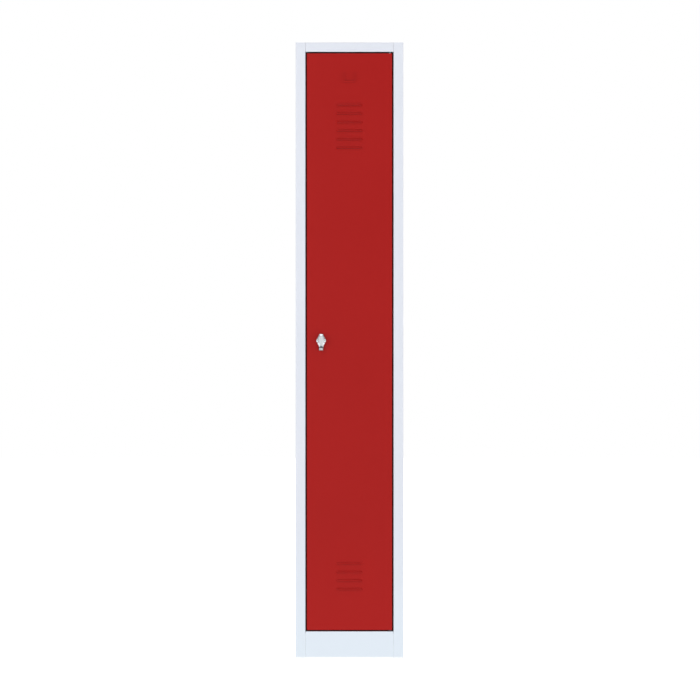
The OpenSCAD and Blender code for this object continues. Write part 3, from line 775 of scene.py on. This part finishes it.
# ---------------------------------------------------------------- cam, washer and screw
# The cam is stamped from 2.5 mm steel, so its front edge is rounded by the punch. A washer
# and a pan head screw with a cross recess hold it on the spindle's square.
SHANK_R = 2 * MM
DOME_H = 1.4 * MM
HEAD_EDGE = 0.2 * MM
RECESS_L = 4.2 * MM
RECESS_W = 0.9 * MM
RECESS_D = 1.6 * MM
# Scale that brings a square with a radius of one to a width of one
TO_WIDTH = 0.7071
cam = softened("stamped_cam", "lock_cam", 0.35 * MM, 2)
washer = softened("plain_washer", "cam_washer", 0.2 * MM, 2)
for piece, node in ((cam, "lock_cam"), (washer, "cam_washer")):
    wear(piece, plated_zinc)
    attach(piece, "latch")
    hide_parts(node)

screw_low, screw_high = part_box("cam_screw")
head_r = (screw_high.x - screw_low.x) / 2
head_y = washer_high.y
dome = [
    (screw_high.y - (1 - cos(t * pi / 2)) * DOME_H, sin(t * pi / 2) * head_r)
    for t in (0.0, 0.2, 0.4, 0.6, 0.8, 0.93, 1.0)
]
screw = turned(
    "cross_recess_screw",
    [
        *dome, (head_y + HEAD_EDGE, head_r), (head_y, head_r - HEAD_EDGE), (head_y, SHANK_R),
        (screw_low.y, SHANK_R), (screw_low.y, 0),
    ],
    48, plated_zinc,
)
# The cross is cut by two flat blades at right angles, which taper towards the bottom
cutter_form = bmesh.new()
for turn in (0, 90):
    tool = bmesh.ops.create_cone(
        cutter_form, cap_ends=True, segments=4, radius1=0.15, radius2=1.0, depth=1.0,
    )
    scale = Matrix.Diagonal((RECESS_L * TO_WIDTH, RECESS_W * TO_WIDTH, RECESS_D * 1.5, 1))
    lie = Matrix.Rotation(radians(-90), 4, "X")
    spin = Matrix.Rotation(radians(turn), 4, "Y")
    settle = Matrix.Translation((axis_x, screw_high.y - RECESS_D * 0.25, axis_z))
    quarter = Matrix.Rotation(radians(45), 4, "Z")
    bmesh.ops.transform(
        cutter_form, verts=tool["verts"], matrix=settle @ spin @ lie @ scale @ quarter,
    )
cutter_mesh = bpy.data.meshes.new("cross_cutter")
cutter_form.to_mesh(cutter_mesh)
cutter_form.free()
cutter = new_piece("cross_cutter", cutter_mesh)
recess = screw.modifiers.new("Cross recess", "BOOLEAN")
recess.operation, recess.object, recess.solver = "DIFFERENCE", cutter, "EXACT"
recess.use_self = True
make_plain(screw)
bpy.data.objects.remove(cutter)
screw.data.set_sharp_from_angle(angle=radians(30))
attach(screw, "latch")
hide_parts("cam_screw")

# ---------------------------------------------------------------- studio
# A plain white floor that shines as brightly as the white surround, but for a soft oval
# behind the locker that takes its shade. Large soft lamps in front and above, and weaker
# ones behind, so that the locker reads from every side.
FLOOR_R = 14.0
FLOOR_SIDES = 96
SHADE_Y = 0.45
SHADE_WIDE = 0.165
SHADE_LONG = 0.55
floor_mesh = bpy.data.meshes.new("studio_floor")
floor_ways = [2 * pi * i / FLOOR_SIDES for i in range(FLOOR_SIDES)]
floor_mesh.from_pydata(
    [(FLOOR_R * cos(way), FLOOR_R * sin(way), 0) for way in floor_ways],
    [], [list(range(FLOOR_SIDES))],
)
floor = new_piece("studio_floor", floor_mesh)
paper, tree, shader, place = new_finish("white_studio_paper")
feed(shader, {"Base Color": linear("#f6f6f6"), "Roughness": 0.9, "Specular IOR Level": 0.1})
behind = add_node(
    tree, "ShaderNodeMapping",
    {
        "Vector": place, "Location": (0, -SHADE_Y / SHADE_LONG, 0),
        "Scale": (1 / SHADE_WIDE, 1 / SHADE_LONG, 1),
    },
)
reach = add_node(tree, "ShaderNodeVectorMath", {0: behind.outputs["Vector"]}, operation="LENGTH")
fade = add_node(
    tree, "ShaderNodeMapRange", {"Value": reach.outputs["Value"], "From Min": 0.3},
    interpolation_type="SMOOTHSTEP",
)
glow = add_node(tree, "ShaderNodeEmission", {"Color": linear("#ffffff"), "Strength": 1.2})
blend = add_node(
    tree, "ShaderNodeMixShader",
    {0: fade.outputs["Result"], 1: shader.outputs["BSDF"], 2: glow.outputs["Emission"]},
)
feed(tree.nodes["Material Output"], {"Surface": blend.outputs["Shader"]})
wear(floor, paper)


def lamp(name, at, aim, width, height, power):
    """A soft box of some width and height that points at a spot on the locker."""
    data = bpy.data.lights.new(name, "AREA")
    data.shape, data.size, data.size_y, data.energy = "RECTANGLE", width, height, power
    box = new_piece(name, data)
    box.location = at
    box.rotation_euler = (Vector(aim) - Vector(at)).to_track_quat("-Z", "Y").to_euler()
    box.visible_camera = False


lamp("key_soft_box", (-2.2, -4.4, 2.4), (0, 0, 0.85), 2.4, 2.4, 47)
lamp("fill_soft_box", (3.0, -3.8, 1.5), (0, 0, 0.85), 2.6, 2.6, 22)
lamp("top_soft_box", (0, 0.9, 4.4), (0, 0, 0), 3.0, 3.0, 34)
# One high in front, which the knob's upper bevel mirrors, and a card that its face mirrors
lamp("high_front_soft_box", (0.0, -1.15, 3.2), (0, -0.25, 0.93), 1.4, 1.0, 2.8)
lamp("card_by_the_camera", (0.0, -8.4, 1.0), (0, 0, 0.93), 1.4, 1.4, 5)
# Two strips at the sides, which give the latch its bright rim
lamp("left_strip", (-2.2, -0.9, 1.0), (0, -0.25, 0.93), 0.7, 1.8, 5)
lamp("right_strip", (2.2, -0.9, 1.0), (0, -0.25, 0.93), 0.7, 1.8, 5)
lamp("rear_left_soft_box", (-2.6, 3.8, 2.2), (0, 0, 0.9), 2.2, 2.2, 16)
lamp("rear_right_soft_box", (2.6, 3.8, 2.2), (0, 0, 0.9), 2.2, 2.2, 13)

# The surround is white where the camera sees it, and lights the locker more from above
world = bpy.data.worlds.new("white_surround")
bpy.context.scene.world = world
world.use_nodes = True
sky = world.node_tree
sky.nodes.clear()
ray = add_node(sky, "ShaderNodeLightPath")
way = add_node(sky, "ShaderNodeTexCoord").outputs["Generated"]
height = add_node(sky, "ShaderNodeSeparateXYZ", {"Vector": way})
lift = add_node(
    sky, "ShaderNodeMapRange", {"Value": height.outputs["Z"], "To Min": 0.2, "To Max": 0.75},
)
dim = add_node(
    sky, "ShaderNodeBackground", {"Color": linear("#f4f7fa"), "Strength": lift.outputs["Result"]},
)
bright = add_node(sky, "ShaderNodeBackground", {"Color": linear("#ffffff"), "Strength": 1.0})
seen_or_lit = add_node(
    sky, "ShaderNodeMixShader",
    {
        0: ray.outputs["Is Camera Ray"], 1: dim.outputs["Background"],
        2: bright.outputs["Background"],
    },
)
add_node(sky, "ShaderNodeOutputWorld", {"Surface": seen_or_lit.outputs["Shader"]})

# ---------------------------------------------------------------- camera
# The photograph is taken square on from far away. It shows 2.047 m at the front frame, with
# the locker's middle half a pixel left of and below the picture's middle.
LENS = 135.0
SENSOR = 36.0
VIEW_H = 2.047
AIM_X, AIM_Z = 1.5 * MM, 900.6 * MM
camera_data = bpy.data.cameras.new("studio_camera")
camera_data.lens, camera_data.sensor_width = LENS, SENSOR
camera_data.clip_start, camera_data.clip_end = 0.1, 100
camera = new_piece("studio_camera", camera_data)
camera.location = (AIM_X, side_low.y - VIEW_H * LENS / SENSOR, AIM_Z)
camera.rotation_euler = (radians(90), 0, 0)
bpy.context.scene.camera = camera
bpy.context.scene.view_settings.view_transform = "Standard"
